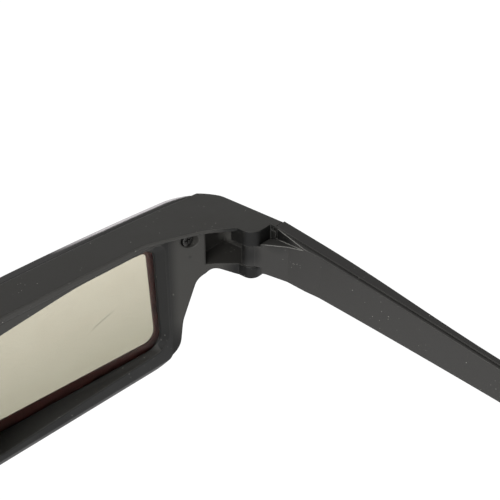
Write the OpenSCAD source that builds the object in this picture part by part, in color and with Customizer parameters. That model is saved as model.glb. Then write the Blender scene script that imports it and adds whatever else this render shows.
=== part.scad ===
// Shutter glasses for 3-D pictures: a deep brow frame with two liquid-crystal lenses and folding temples.
// Millimetres. The wearer looks along -Y, +Z is up, and the glasses stand on z = 0.
// x > 0 is the wearer's left side.

/* [Frame] */
// width over the two wings
overall_w = 180; // [170:0.5:190]
// height of the frame, rim bottom to brow top
frame_h = 40; // [38:0.5:44]
// front-to-back position of the brow's front edge on the centre line
brow_front = 14.6; // [14.2:0.1:16]
// radius of the brow's front face seen from above
front_r = 650; // [560:10:800]
// lean of the front face from the vertical
front_rake = 3; // [2.5:0.1:3.5]
// outside radius of the corner between brow and wing
corner_r = 15; // [14:0.5:16]
// depth of the brow on the centre line
brow_depth = 12; // [11.6:0.1:12.4]
// angle of the rear edge from the X axis
rear_wrap = 3.4; // [3:0.1:3.8]
// height of the wing and its hinge
wing_h = 14; // [13.6:0.1:14.4]
// thickness of the roof over the brow
roof_t = 1.6; // [1.4:0.1:1.7]
// thickness of the wing's outer skin
skin_t = 3.2; // [2.8:0.1:3.3]
// thickness of the roof's free rear edge
lip_t = 0.5; // [0.4:0.05:0.7]
// how far the roof's underside steps in from that edge
lip_step = 0.7; // [0.5:0.05:0.9]
// thickness of the walls round the electronics
wall_t = 1.8; // [1.4:0.1:2]
// chamfer along the lower rear edge of the rims
rim_chamfer = 1.0; // [0.8:0.1:1.4]
// height of that chamfer
rim_chamfer_h = 1.8; // [1.2:0.1:2.2]
// distance of the rim's lower outer corner from the wing's outer face
rim_inset = 21.3; // [20.8:0.1:21.8]
// rounding of that corner
rim_corner_r = 8; // [6:0.1:8.6]
// distance of the rim's waist from the wing's outer face
waist_inset = 20.1; // [19.7:0.1:20.6]
// height of the rim's waist
waist_z = 13; // [12:0.1:14]
// distance of the wing's root from its outer face
root_inset = 16.3; // [15.8:0.1:16.8]
// rise of the wing's underside at its root
root_rise = 1.2; // [1:0.05:1.5]
// rise of the arch under the hinge pocket
arch_rise = 2.3; // [1.8:0.05:2.4]
// rounding of the wing's lower outer edge
wing_low_r = 2.4; // [2:0.1:2.8]
// distance from the wing's outer face where the roof starts to run back to the hinge
gusset_inset = 30.5; // [29.6:0.1:31.4]
// rounding of the roof's rear edge there
gusset_r = 16; // [13:0.5:18]
// rounding of the brow's upper edge at the ends
brow_edge_r = 0.8; // [0.6:0.05:1]
// nose gap width at the bottom
nose_w = 20; // [18:0.2:20.4]
// nose gap width at the arch
nose_arch_w = 12; // [11:0.2:13]
// height of the bridge over the nose gap
bridge_h = 13.5; // [12.6:0.1:14.4]
// distance of the electronics hollow's inner end from the wing's outer face
cavity_inset = 22; // [21.6:0.1:22.4]
// thickness of the floor under the electronics
floor_t = 2.2; // [1.8:0.1:2.4]
// rounding of the nose gap's arch
nose_arch_r = 5; // [4:0.1:5.4]
// rounding of the rims' feet beside the nose gap
nose_foot_r = 3; // [2:0.1:3.4]

/* [Front cover] */
// thickness of the gloss front cover
cover_t = 2.2; // [1.8:0.1:2.4]
// gap at the seam between cover and housing
seam_gap = 0.12; // [0.05:0.01:0.2]
// flare of the cover's lens openings
bezel_flare = 2.4; // [1.6:0.1:2.6]
// thickness of the cover's lip on the lens
bezel_lip = 0.6; // [0.5:0.05:0.7]
// slope of the bezel's outer side, out per length forward
bezel_out = 0.95; // [0.85:0.01:1]
// slope of the bezel's lower side, down per length forward
bezel_low = 0.95; // [0.85:0.01:1]

/* [Lenses] */
// angle of each lens from the X axis
lens_wrap = 8.8; // [8.4:0.1:9]
// distance of the lens plane behind the brow's front edge on the centre line
lens_back = 4.22; // [4.1:0.02:4.5]
// lens window: distance of its upper inner corner from the centre line
window_in = 11; // [10.6:0.1:11.4]
// width of the end piece outside the lens window
end_w = 25.9; // [25.6:0.1:26.6]
// lens window: how far the lower inner corner stands out
window_slant = 3.5; // [3:0.1:4]
// height of the brow over the lens window
brow_over = 3.8; // [3.6:0.05:4.2]
// lens window: drop of the upper edge towards the nose
window_drop = 2.4; // [2:0.1:2.8]
// lens window: distance of the upper edge's highest point from its inner corner
window_peak = 25; // [22:0.5:28]
// lens window: rounding of the upper edge there
window_top_r = 60; // [50:1:80]
// lens window: rounding of the corners
window_r = 4; // [3:0.1:4.4]
// lens window: lean of its outer edge
window_lean = 0.9; // [0.6:0.1:1.2]
// lens window: height of the lower edge at the nose
window_low = 4; // [3.9:0.1:4.6]
// lens window: rise of the lower edge towards the temple
window_rise = 2.7; // [2:0.1:3]
// flare of the opening behind the lens, outwards
flare_out = 2.3; // [2:0.05:2.6]
// flare of the opening behind the lens, upwards
flare_up = 1.7; // [1.5:0.05:1.9]
// flare of the opening behind the lens, downwards
flare_low = 0.6; // [0.4:0.05:0.8]
// flare of the opening behind the lens, towards the nose
flare_in = 1.2; // [0.8:0.05:1.4]
// width of the dark edge seal at the bottom
seal_w_low = 2.4; // [2:0.1:3.2]
// width of the dark edge seal at the sides and top
seal_w_side = 0.9; // [0.6:0.1:1.6]
// lens edge held behind the window
lens_lap = 1.0; // [0.8:0.05:1.1]
// how far the lens runs on under the frame at its outer end
lens_more = 1.6; // [1.4:0.05:1.7]
// how far its outer lower corner lies lower for it
lens_more_low = 0.6; // [0.5:0.05:0.7]
// clearance round the lens in its pocket
lens_gap = 0.1; // [0.05:0.01:0.15]
// thickness of each polarising film
film_t = 0.3; // [0.2:0.05:0.35]
// thickness of each glass plate
glass_t = 0.7; // [0.5:0.05:0.75]
// thickness of the edge seal between the plates
seal_t = 0.4; // [0.3:0.05:0.45]
// thickness of the foam gasket
gasket_t = 0.6; // [0.4:0.05:0.7]

/* [Hinges] */
// distance of the hinge pocket's inner wall from the wing's outer face
pocket_inset = 14.9; // [14.6:0.05:15.2]
// depth of the hinge pocket, measured from the hinge axis
pocket_d = 12.1; // [11.8:0.1:12.4]
// thickness of the wall between the hinge pocket and the electronics
pocket_wall = 1.5; // [1.2:0.05:1.7]
// gap between the knuckle and the wing's skin
hinge_gap = 1.1; // [0.9:0.05:1.2]
// front-to-back position of the hinge axis
hinge_y = 14.6; // [14.4:0.1:14.8]
// outside radius of the hinge ears
ear_r = 3.2; // [3:0.05:3.3]
// outside radius of the lower ear
ear_low_r = 2.5; // [2.4:0.05:2.8]
// thickness of the upper ear
ear_up_t = 4.2; // [3.8:0.1:4.3]
// thickness of the lower ear
ear_low_t = 3.2; // [2.8:0.1:3.3]
// gap between an ear and the knuckle
knuckle_gap = 0.3; // [0.2:0.02:0.4]
// outside radius of the knuckle
knuckle_r = 2.5; // [2.3:0.05:2.6]
// radius of the hinge pin
pin_r = 0.8; // [0.7:0.02:0.9]
// running clearance of the knuckle round the pin
pin_gap = 0.05; // [0.03:0.01:0.08]
// radius of the hinge pin's head
pin_head_r = 1.5; // [1.3:0.05:1.6]

/* [Temples] */
// gap at the seam between wing and temple
temple_seam = 0.2; // [0.15:0.05:0.3]
// length of the wing's skin behind the hinge ears
wing_tail = 1.6; // [1.4:0.1:2]
// height of the temple at its front end
temple_h = 12.2; // [11.8:0.1:12.4]
// how far the temple's lower edge bellies out
belly = 1.7; // [1.4:0.1:2]
// distance of that belly behind the seam
belly_y = 10.6; // [8:0.2:13]
// height of the temple at the ear bend
temple_tip_h = 7.2; // [6.8:0.1:7.8]
// overall thickness of the temple
temple_t = 4.2; // [4:0.05:4.4]
// thickness of the temple's outer cover
temple_cover_t = 3.2; // [3:0.05:3.3]
// radius of the temple's outer face seen from above
temple_r = 2000; // [1600:50:2400]
// how much thinner the temple gets towards its tip
temple_taper = 1.7; // [1.5:0.05:1.75]
// distance behind the seam where that taper starts
taper_from = 12; // [10:1:16]
// distance behind the seam where it ends
taper_to = 60; // [54:1:64]
// slope of the straight part
temple_drop = 7.1; // [6.6:0.1:7.4]
// front-to-back position where the ear bend starts
bend_start = 106; // [100:1:108]
// radius of the ear bend
bend_r = 60; // [50:1:70]
// slope of the tip
tip_drop = 32; // [28:1:34]
// how far the arm's upper edge stays below the cover's
arm_inset = 0.35; // [0.25:0.05:0.5]
// depth of the scoop behind the upper ear
scoop_d = 3.7; // [3.4:0.05:3.8]
// rise of the scoop's floor to its end
scoop_rise = 1.4; // [1:0.05:1.6]
// end of the scoop, as a part of the arm's tapered front end
scoop_part = 0.48; // [0.36:0.02:0.56]
// depth of the hollow inside the outer cover
hollow_d = 0.7; // [0.5:0.1:0.9]

/* [Electronics] */
// width of the main board
board_w = 10; // [9:0.2:10.4]
// free height over the main board, up to the pressed button
board_room = 0.85; // [0.5:0.05:1.6]
// thickness of the boards
board_t = 0.8; // [0.6:0.05:1]
// width of the battery cell
battery_w = 8; // [7.4:0.1:8.4]
// depth of the battery cell
battery_d = 4.6; // [4:0.1:4.8]
// free height over the battery cell
battery_room = 1.6; // [1:0.1:2.4]
// width of the charging socket
socket_w = 7.4; // [7.2:0.1:7.8]
// depth of the charging socket
socket_d = 2.6; // [2.4:0.05:2.8]
// height of the charging socket
socket_h = 5; // [4.6:0.1:5.4]
// length of the power button
button_l = 5.8; // [5.4:0.1:6]
// width of the power button
button_w = 2.6; // [2.2:0.1:2.8]
// height of the button above the roof
button_proud = 0.5; // [0.45:0.05:0.8]
// travel of the power button
button_travel = 0.4; // [0.3:0.05:0.45]
// clearance round the button
button_gap = 0.12; // [0.1:0.01:0.2]
// radius of the sensor window in the front cover
sensor_r = 2; // [1.6:0.1:2.2]
// radius of the light pipe
pipe_r = 0.8; // [0.7:0.05:0.9]
// width of the flat cable in the brow
ribbon_w = 2.8; // [2.2:0.1:3]
// thickness of the flat cables
ribbon_t = 0.3; // [0.2:0.02:0.32]

/* [Screws] */
// distance of the outer screws from the lens window
screw_out = 7.8; // [7.5:0.1:8.2]
// distance of the outer screws below the brow's top
screw_drop = 3.3; // [3.2:0.05:3.6]
// distance of the bridge screws from the centre line
bridge_screw_x = 4.6; // [4.4:0.1:4.8]
// height of the bridge screws over the nose arch
bridge_screw_up = 4.1; // [3.8:0.1:4.4]
// radius of the screw shank
screw_r = 0.8; // [0.7:0.02:0.9]
// radius of the screw head
screw_head_r = 1.7; // [1.5:0.05:1.75]
// height of the screw head
screw_head_h = 1.3; // [1:0.05:1.4]
// radius of the screw recess
recess_r = 1.92; // [1.86:0.01:2]
// length of the screw shanks
screw_len = 7.6; // [6.8:0.1:8]
// width of the cross slots
slot_w = 0.44; // [0.4:0.02:0.5]
// length of the cross slots
slot_l = 2.2; // [2:0.05:2.4]
// depth of the cross slots
slot_d = 0.6; // [0.5:0.05:0.8]
// radius of the screw bosses
boss_r = 1.5; // [1.4:0.05:1.6]

/* [Nose pad] */
// thickness of the pad inside the nose gap
pad_t = 1.2; // [1:0.05:1.6]
// how far the pad reaches into the nose gap
pad_in = 7; // [6:0.1:7.6]
// height of the pad's lower ends
pad_low = 5; // [4:0.1:7]
// thickness of the pad's flange
pad_flange_t = 1.4; // [1.2:0.05:1.6]
// how far the pad stands behind the bridge
pad_back = 5; // [4:0.1:6]
// how far the pad's flange laps over the rear face
pad_flange = 1.5; // [1.2:0.05:1.8]

/* [Hidden] */
$fn = 64;
e = 0.01;
// small clearance between pieces that are pressed or laid together
fit = 0.05;
// overlap of solids that are one piece, and the length of cuts that leave the part
weld = 0.4;
far = overall_w;
half_w = overall_w / 2;
front_y = -brow_front;
rear_set = brow_front - brow_depth;
lens_set = brow_front - lens_back;
window_out = half_w - end_w;
window_top = frame_h - brow_over;
nose_arch_z = frame_h - bridge_h;
front_cy = front_y + front_r;
// the corner circle touches the brow's front circle from inside
corner_x = half_w - corner_r;
corner_y = front_cy - sqrt(pow(front_r - corner_r, 2) - corner_x * corner_x);
corner_a = atan2(corner_y - front_cy, corner_x);
touch = [corner_x + corner_r * cos(corner_a), corner_y + corner_r * sin(corner_a)];
rear_slope = tan(rear_wrap);
hinge_x = half_w - skin_t - hinge_gap - knuckle_r;
ear_y = hinge_y + ear_r;
wing_end = ear_y + wing_tail;
ear_in = hinge_x - ear_r;
wing_z = frame_h - wing_h;
low_ear_z = wing_z + ear_low_t;
up_ear_z = frame_h - ear_up_t;
knuckle_z0 = low_ear_z + knuckle_gap;
knuckle_z1 = up_ear_z - knuckle_gap;
roof_z = frame_h - roof_t;
// rear corner where the roof starts to run back to the hinge, and the edge of the hinge pocket
gusset_x = half_w - gusset_inset;
gusset_y = hinge_y - 2;
end_x = window_out + flare_out + 1;
pocket_x = half_w - pocket_inset;
pocket_edge_y = hinge_y - 8;
pocket_y = hinge_y - pocket_d;
cavity_y = pocket_y - pocket_wall;
cavity_z = wing_z + floor_t;
cavity_x = half_w - cavity_inset;
// lens stack, counted from the lens's rear face towards the front
film_z = 0;
glass1_z = film_t;
seal_z = glass1_z + glass_t;
glass2_z = seal_z + seal_t;
film2_z = glass2_z + glass_t;
gasket_z = film2_z + film_t;
rib_z = gasket_z + gasket_t;
lens_top = window_top + lens_lap;
// flat cables in the brow channel
tail_z = lens_top + fit / 2;
ribbon_z = tail_z + ribbon_t;
channel_z = lens_top - 0.2;
// the tail of a lens ends under the flat cable in the brow
tail_x = window_in + 16.5;
tail_lens_y = tan(lens_wrap) * tail_x - lens_set - seal_z;
tail_end_y = front_y + tail_x * tail_x / front_r / 2 + cover_t + 1.2;
tail_len = tail_lens_y - tail_end_y;
// temple outline
temple_y0 = wing_end + temple_seam;
temple_zc = frame_h - temple_h / 2;
bend_z = temple_zc - (bend_start - temple_y0) * tan(temple_drop);
bend_cy = bend_start - bend_r * sin(temple_drop);
bend_cz = bend_z - bend_r * cos(temple_drop);
bend_end_y = bend_cy + bend_r * sin(tip_drop);
bend_end_z = bend_cz + bend_r * cos(tip_drop);
tip_r = temple_tip_h / 2;
tip_len = (bend_end_z - tip_r) / sin(tip_drop);
tip_y = bend_end_y + tip_len * cos(tip_drop);
temple_l = tip_y + tip_r - temple_y0;
temple_step = 2.5;
// inner face of the arm's thick front end, seen from above, from front to back
root_front = [hinge_x - knuckle_r + 0.15, hinge_y - 1.2];
root_bend = [hinge_x + 1.6, temple_y0 + 5.4];
root_end = [half_w - temple_t - 0.05, temple_y0 + 14.6];
scoop_end = root_bend + (root_end - root_bend) * scoop_part;
// the whole stands with the middle of its depth on the origin
mid_y = (front_y + tip_y + tip_r) / 2;
// electronics
screw_x = window_out + screw_out;
screw_z = frame_h - screw_drop;
bridge_screw_z = nose_arch_z + bridge_screw_up;
board_x = half_w - 14;
battery_x = half_w - 6.6;
board_y = cavity_y - 0.5;
board_z = cavity_z + 0.3;
socket_x = half_w - 9.2;
socket_y = board_y - board_t - socket_d / 2;
socket_z = wing_z + 0.3;
button_x = half_w - 8.6;
button_y = board_y - board_t - 1.5;
flange_z = roof_z - 0.85;
switch_z = flange_z - 3.3;
stem_z = flange_z - 1.2;
pipe_x = screw_x + boss_r + pipe_r + 1.3;
board_h = flange_z - button_travel - board_room - board_z;
battery_h = roof_z - cavity_z - battery_room;
sensor_z = (roof_z + bridge_screw_z + boss_r) / 2 + 0.2;
screw_seat_y = pocket_y;
bridge_seat_y = -rear_set - 1.8;
boss_floor = 1.4;
sensor_room = 12.4;
socket_gap = 0.3;
ribbon_end = screw_x - boss_r - 1.3;
pad_flange_y = rear_slope * (nose_w / 2 + pad_flange) + 0.2;

// outline helpers

function unit(v) = v / norm(v);

function arc(c, r, a0, a1, n) = [for (k = [0 : n]) let (a = a0 + (a1 - a0) * k / n) c + r * [cos(a), sin(a)]];

function turn(a) = a > 180 ? a - 360 : a < -180 ? a + 360 : a;

// points of the fillet of radius r at corner q between p and s
function fillet(p, q, s, r) =
    let (a = unit(p - q), b = unit(s - q), w = acos(a * b), c = q + unit(a + b) * r / sin(w / 2),
        t0 = q + a * r / tan(w / 2) - c, t1 = q + b * r / tan(w / 2) - c,
        a0 = atan2(t0.y, t0.x), da = turn(atan2(t1.y, t1.x) - a0), n = max(2, ceil(abs(da) / 9)))
    arc(c, r, a0, a0 + da, n);

// closed outline from [x, y, corner radius] points
function rounded(p) = [for (i = [0 : len(p) - 1])
    let (n = len(p), a = p[(i + n - 1) % n], b = p[i], c = p[(i + 1) % n])
    each b[2] == 0 ? [[b.x, b.y]] : fillet([a.x, a.y], [b.x, b.y], [c.x, c.y], b[2])];

// a half outline and its mirror image as one closed outline
function both_halves(h) = concat(h, [for (i = [len(h) - 1 : -1 : 0]) [-h[i].x, h[i].y]]);

function rear(x) = -rear_set + rear_slope * x;

function front_line(x) = touch.y + (x - touch.x) * -cos(corner_a) / sin(corner_a);

// outlines seen from above, wearer's left half

function plan_front() = concat([[0.5, front_line(0.5)]],
    arc([corner_x, corner_y], corner_r, corner_a, 0, 18),
    [[half_w, wing_end], [half_w - skin_t, wing_end]]);

function plan_roof() = concat(plan_front(), [[half_w - skin_t, ear_y]],
    arc([hinge_x, hinge_y], ear_r, 90, 180, 12),
    [[ear_in, gusset_y]],
    fillet([ear_in, gusset_y], [half_w - 15.6, hinge_y - 6.8], [gusset_x, rear(gusset_x)], gusset_r - 2),
    fillet([half_w - 15.6, hinge_y - 6.8], [gusset_x, rear(gusset_x)], [0.5, rear(0.5)], gusset_r),
    [[0.5, rear(0.5)]]);

function plan_body() = concat(plan_front(),
    [[half_w - skin_t, pocket_y], [pocket_x, pocket_y], [pocket_x, pocket_edge_y], [end_x, rear(end_x)],
        [0.5, rear(0.5)]]);

function plan_ear(y0) = concat([[half_w - skin_t + weld, y0], [half_w - skin_t + weld, ear_y]],
    arc([hinge_x, hinge_y], ear_r, 90, 180, 12), [[ear_in, y0]]);

function plan_floor() = concat([[half_w - skin_t + weld, pocket_y - weld],
    [half_w - skin_t + weld, hinge_y + ear_low_r]],
    arc([hinge_x, hinge_y], ear_low_r, 90, 180, 12),
    [[hinge_x - ear_low_r, gusset_y], [pocket_x + 1.6, hinge_y - 6.6],
        [pocket_x - weld, pocket_edge_y - 0.3], [pocket_x - weld, pocket_y - weld]]);

// outline seen from the front, wearer's left half

function face_half() = rounded([[0.5, frame_h, 0], [half_w, frame_h, brow_edge_r],
    [half_w, wing_z, wing_low_r], [hinge_x - 2.6, wing_z, 1.5], [hinge_x - 5, wing_z + root_rise, 1.5],
    [half_w - root_inset, wing_z + root_rise, 5],
    [half_w - waist_inset, waist_z, 12], [half_w - rim_inset, 0, rim_corner_r], [nose_w / 2, 0, nose_foot_r],
    [nose_arch_w / 2, nose_arch_z, nose_arch_r], [0.5, nose_arch_z, 0]]);

// nose gap with its sides moved in by g
function nose_gap(g) = both_halves(rounded([[0.5, nose_arch_z - g, 0],
    [nose_arch_w / 2 - g, nose_arch_z - g, nose_arch_r - g], [nose_w / 2 - g, -1, 0], [0.5, -1, 0]]));

// lens window moved out by g, in the lens plane, its outer end by o and that end's lower corner down by d more
function window(g, o = 0, d = 0) = rounded([[window_out + g + o, window_top + g, window_r - 1.5 + g],
    [window_out + window_lean + g + o, window_low + window_rise - g - d, window_r + 0.2 + g],
    [window_in + window_slant - g, window_low - g, window_r + g],
    [window_in - g, window_top - window_drop + g, window_r + g],
    [window_in + window_peak, window_top + g, window_top_r]]);

// outline of the lens itself, less the lap that holds it, moved out by g
function lens_edge(g) = window(g, lens_more, lens_more_low);

// clear picture area inside the edge seal
function clear_area() = rounded([[window_out - seal_w_side, window_top - seal_w_side, window_r - 2.4],
    [window_out + window_lean - seal_w_side / 2, window_low + window_rise + seal_w_low - 0.7, window_r - 0.6],
    [window_in + window_slant + 1, window_low + seal_w_low, window_r - 1],
    [window_in + seal_w_side, window_top - window_drop - seal_w_side, window_r - 1],
    [window_in + window_peak, window_top - seal_w_side, window_top_r]]);

// opening in the rear face behind the lens window
function rear_opening() = rounded([[window_out + flare_out, window_top + flare_up, window_r - 1],
    [window_out + flare_out + 0.6, window_low + window_rise - flare_low, window_r + 1],
    [window_in + 0.5, window_low - flare_low, window_r - 1],
    [window_in - flare_in, window_top - window_drop + 0.8, window_r],
    [window_in + window_peak + 3, window_top + flare_up - 0.1, window_top_r]]);

// placing helpers

module placed() translate([0, -mid_y, 0]) children();

module on_side(s) mirror([s < 0 ? 1 : 0, 0, 0]) children();

module both_sides() {
    children();
    mirror([1, 0, 0]) children();
}

// local z runs forward from the lens's rear face
module lens_space() translate([0, -lens_set, 0]) rotate([0, 0, lens_wrap]) rotate([90, 0, 0])
    children();

module along_y(y0, y1) translate([0, y1, 0]) rotate([90, 0, 0]) linear_extrude(y1 - y0) children();

module along_z(z0, z1) translate([0, 0, z0]) linear_extrude(z1 - z0) children();

module box(x0, x1, y0, y1, z0, z1) translate([x0, y0, z0]) cube([x1 - x0, y1 - y0, z1 - z0]);

// everything behind the leaning front face, cut back by d
module behind_front(d) translate([0, front_y, frame_h]) rotate([front_rake, 0, 0])
    translate([0, front_r, -far]) cylinder(r = front_r - d, h = 2 * far, $fn = 900);

module face_outline() along_y(-far, far) polygon(both_halves(face_half()));

module lens_ring(outer, inner, z0, t) lens_space() translate([0, 0, z0]) linear_extrude(t) difference() {
    polygon(outer);
    polygon(inner);
}

module lens_plate(z0, t) lens_space() translate([0, 0, z0]) linear_extrude(t) polygon(lens_edge(lens_lap));

module screw_bore(x, z, r, y0, y1) translate([x, y1, z]) rotate([90, 0, 0]) cylinder(r = r, h = y1 - y0);

// outer shape of the frame

module frame_shape() intersection() {
    face_outline();
    union() {
        // the roof thins to a lip in three steps
        for (k = [0 : 2]) along_z(roof_z - e + (roof_t - lip_t) * k / 2 - (k > 0 ? weld / 2 : 0), frame_h)
            translate([0, (k - 2) * lip_step]) polygon(both_halves(plan_roof()));
        along_z(-1, roof_z) polygon(both_halves(plan_body()));
        both_sides() along_z(up_ear_z, frame_h) polygon(plan_ear(hinge_y - ear_r - 0.6));
        both_sides() along_z(wing_z - 1, low_ear_z) polygon(plan_floor());
    }
}

module lens_opening() {
    hull() {
        lens_space() translate([0, 0, -0.2]) linear_extrude(0.4) polygon(window(0));
        translate([0, -rear_set, 0]) rotate([0, 0, rear_wrap]) rotate([90, 0, 0]) translate([0, 0, -3])
            linear_extrude(2.9) polygon(rear_opening());
    }
    lens_space() linear_extrude(brow_front) polygon(lens_edge(lens_lap + lens_gap));
}

// the bezel before the lens, which runs forward, out and down from the lens's edge
module bezel(z, g) hull() for (k = [0, brow_depth])
    lens_space() translate([bezel_out * k, -bezel_low * k, z + k]) linear_extrude(weld / 2) polygon(lens_edge(g));

// hollow for the battery or the main board in the corner
module end_cavity() along_z(cavity_z, roof_z) intersection() {
    polygon(concat([[cavity_x, front_line(cavity_x) - 2], [touch.x, touch.y - 2]],
        arc([corner_x, corner_y], corner_r - wall_t, corner_a, 0, 18), [[cavity_x, corner_y]]));
    translate([cavity_x, -far]) square([far, far + cavity_y]);
}

module brow_channel() along_z(channel_z, roof_z) intersection() {
    difference() {
        translate([0, front_cy]) circle(r = front_r - cover_t + 1, $fn = 900);
        translate([0, front_cy]) circle(r = front_r - cover_t - 5.5, $fn = 900);
    }
    translate([-cavity_x - 1, -far]) square([2 * cavity_x + 2, far]);
}

module hinge_bore() {
    translate([hinge_x, hinge_y, wing_z - 1]) cylinder(r = pin_r + 0.02, h = frame_h - 2.4 - wing_z + 1);
    translate([hinge_x, hinge_y, wing_z - 1]) cylinder(r = pin_head_r + 0.1, h = 2.1);
}

// arch between the rim and the lower ear
module pocket_arch() along_y(pocket_y - weld, far) polygon(rounded([[hinge_x - 2.6, wing_z, 0.6],
    [pocket_x + 1.4, wing_z + arch_rise, 1.8], [pocket_x - 1.9, wing_z - 1.6, 3],
    [pocket_x - 1.9, waist_z + 4, 0], [hinge_x - 2.6, waist_z + 4, 0]]));

// straight chamfer under the rear edge of the rims
module rim_cut() translate([0, -rear_set, 0]) rotate([0, 0, rear_wrap]) rotate([90, 0, 90])
    linear_extrude(half_w) polygon([[-rim_chamfer, -e], [3 * rim_chamfer, -e],
        [3 * rim_chamfer, rim_chamfer_h], [0, rim_chamfer_h]]);

module rear_housing() placed() color("#3f3e3c") difference() {
    intersection() {
        frame_shape();
        behind_front(cover_t + seam_gap);
    }
    both_sides() {
        lens_opening();
        bezel(rib_z - lens_gap, lens_lap + lens_gap / 2);
        end_cavity();
        hinge_bore();
        rim_cut();
        pocket_arch();
        screw_bore(screw_x, screw_z, recess_r, screw_seat_y, far);
        screw_bore(screw_x, screw_z, screw_r + 2 * fit, -far, far);
        screw_bore(bridge_screw_x, bridge_screw_z, recess_r, bridge_seat_y, far);
        screw_bore(bridge_screw_x, bridge_screw_z, screw_r + 2 * fit, -far, far);
        screw_bore(bridge_screw_x, bridge_screw_z, boss_r + 2 * fit, -far, bridge_seat_y - boss_floor);
    }
    brow_channel();
    box(-sensor_room / 2, sensor_room / 2, -far, bridge_seat_y, bridge_screw_z + boss_r + 0.3, roof_z);
    // charging socket in the floor, button and light pipe in the roof of the left end
    box(socket_x - socket_w / 2 - socket_gap, socket_x + socket_w / 2 + socket_gap,
        board_y - board_t - socket_d - socket_gap, board_y - board_t + 0.1, wing_z - 1, cavity_z + weld);
    translate([button_x, button_y, roof_z - weld]) linear_extrude(far)
        stadium(button_l, button_w, button_gap);
    translate([pipe_x, button_y, roof_z - weld]) cylinder(r = pipe_r + fit, h = far);
}

module front_cover() placed() color("#1b1b1c") difference() {
    intersection() {
        face_outline();
        behind_front(0);
        union() {
            difference() {
                along_z(-1, frame_h + 1) polygon(both_halves(plan_roof()));
                behind_front(cover_t);
            }
            both_sides() lens_ring(lens_edge(lens_lap - fit), lens_edge(-2 * lens_lap), rib_z, 2 * brow_front);
            both_sides() bezel(rib_z, lens_lap - fit);
            both_sides() screw_bore(screw_x, screw_z, boss_r, -far, cavity_y - fit);
            both_sides() screw_bore(bridge_screw_x, bridge_screw_z, boss_r, -far,
                bridge_seat_y - boss_floor - fit);
        }
    }
    both_sides() {
        hull() {
            lens_space() translate([0, 0, rib_z - lens_lap]) linear_extrude(weld / 2)
                polygon(lens_edge(0));
            lens_space() translate([0, 0, rib_z + brow_depth]) linear_extrude(weld / 2)
                polygon(lens_edge(bezel_flare));
        }
        bezel(rib_z + bezel_lip, 0);
        lens_space() translate([0, 0, -brow_depth]) linear_extrude(rib_z + brow_depth)
            polygon(lens_edge(lens_lap + lens_gap));
        screw_bore(screw_x, screw_z, screw_r + fit / 2, screw_seat_y - screw_len - 0.3, far);
        screw_bore(bridge_screw_x, bridge_screw_z, screw_r + fit / 2, bridge_seat_y - screw_len - 0.3, far);
    }
    screw_bore(0, sensor_z, sensor_r, -far, 0);
}

module nose_pad() placed() color("#232323") {
    along_y(-rear_set - pad_in, -rear_set + pad_back) difference() {
        polygon(nose_gap(fit));
        polygon(nose_gap(pad_t));
        translate([-far, pad_low - far]) square([2 * far, far]);
    }
    along_y(-rear_set + pad_flange_y, -rear_set + pad_flange_y + pad_flange_t) difference() {
        polygon(nose_gap(-pad_flange));
        polygon(nose_gap(pad_t / 2));
        translate([-far, pad_low - far]) square([2 * far, far]);
    }
}

module frame_screw(x, z, seat) {
    screw_bore(x, z, screw_r, seat - screw_len, seat + e);
    difference() {
        screw_bore(x, z, screw_head_r, seat, seat + screw_head_h);
        for (a = [0, 90]) translate([x, seat + screw_head_h - slot_d, z]) rotate([0, a, 0])
            translate([-slot_l / 2, 0, -slot_w / 2]) cube([slot_l, far, slot_w]);
    }
}

module frame_screws() placed() color("#8a8a8c") both_sides() {
    frame_screw(screw_x, screw_z, screw_seat_y);
    frame_screw(bridge_screw_x, bridge_screw_z, bridge_seat_y);
}

// lens pieces

module rear_film(s) placed() on_side(s) color("#b8b39a") lens_plate(film_z, film_t);

module rear_glass(s) placed() on_side(s) color("#d8dcd8") lens_plate(glass1_z, glass_t);

module edge_seal(s) placed() on_side(s) color("#2a1a1a")
    lens_ring(lens_edge(lens_lap), clear_area(), seal_z, seal_t);

module front_glass(s) placed() on_side(s) color("#d8dcd8") lens_plate(glass2_z, glass_t);

module front_film(s) placed() on_side(s) color("#b8b39a") lens_plate(film2_z, film_t);

module lens_gasket(s) placed() on_side(s) color("#161616")
    lens_ring(lens_edge(lens_lap - fit), lens_edge(0.15), gasket_z, gasket_t);

// flat tail from the lens's upper edge to the cable in the brow
module lens_tail(s) placed() on_side(s) color("#c08a3a")
    lens_space() translate([tail_x - 2.5, tail_z, seal_z]) cube([5, ribbon_t - 0.03, tail_len]);

// electronics

module main_board() placed() color("#1f5a38") difference() {
    box(board_x, board_x + board_w, board_y - board_t, board_y, board_z, board_z + board_h);
    screw_bore(board_x + 1, board_z + 1, 0.4, -far, far);
}

module board_chips() placed() color("#202224") {
    box(board_x + 0.4, board_x + 3.4, board_y, board_y + 0.45, board_z + 2.6, board_z + 5.6);
    box(board_x + 4.2, board_x + 6.2, board_y, board_y + 0.45, board_z + 3, board_z + 5);
    box(board_x + 6.8, board_x + 9, board_y, board_y + 0.45, board_z + 0.8, board_z + 3.2);
    box(board_x + 7, board_x + 8, board_y, board_y + 0.45, board_z + 4.4, board_z + 6);
}

module battery_cell() placed() color("#b9bcc0")
    box(-battery_x, -battery_x + battery_w, cavity_y - 0.4 - battery_d, cavity_y - 0.4,
        cavity_z, cavity_z + battery_h);

module brow_ribbon() placed() color("#c98f3c") along_z(ribbon_z, ribbon_z + ribbon_t) intersection() {
    difference() {
        translate([0, front_cy]) circle(r = front_r - cover_t - 0.6, $fn = 900);
        translate([0, front_cy]) circle(r = front_r - cover_t - 0.6 - ribbon_w, $fn = 900);
    }
    translate([-ribbon_end, -far]) square([2 * ribbon_end, far]);
}

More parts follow.
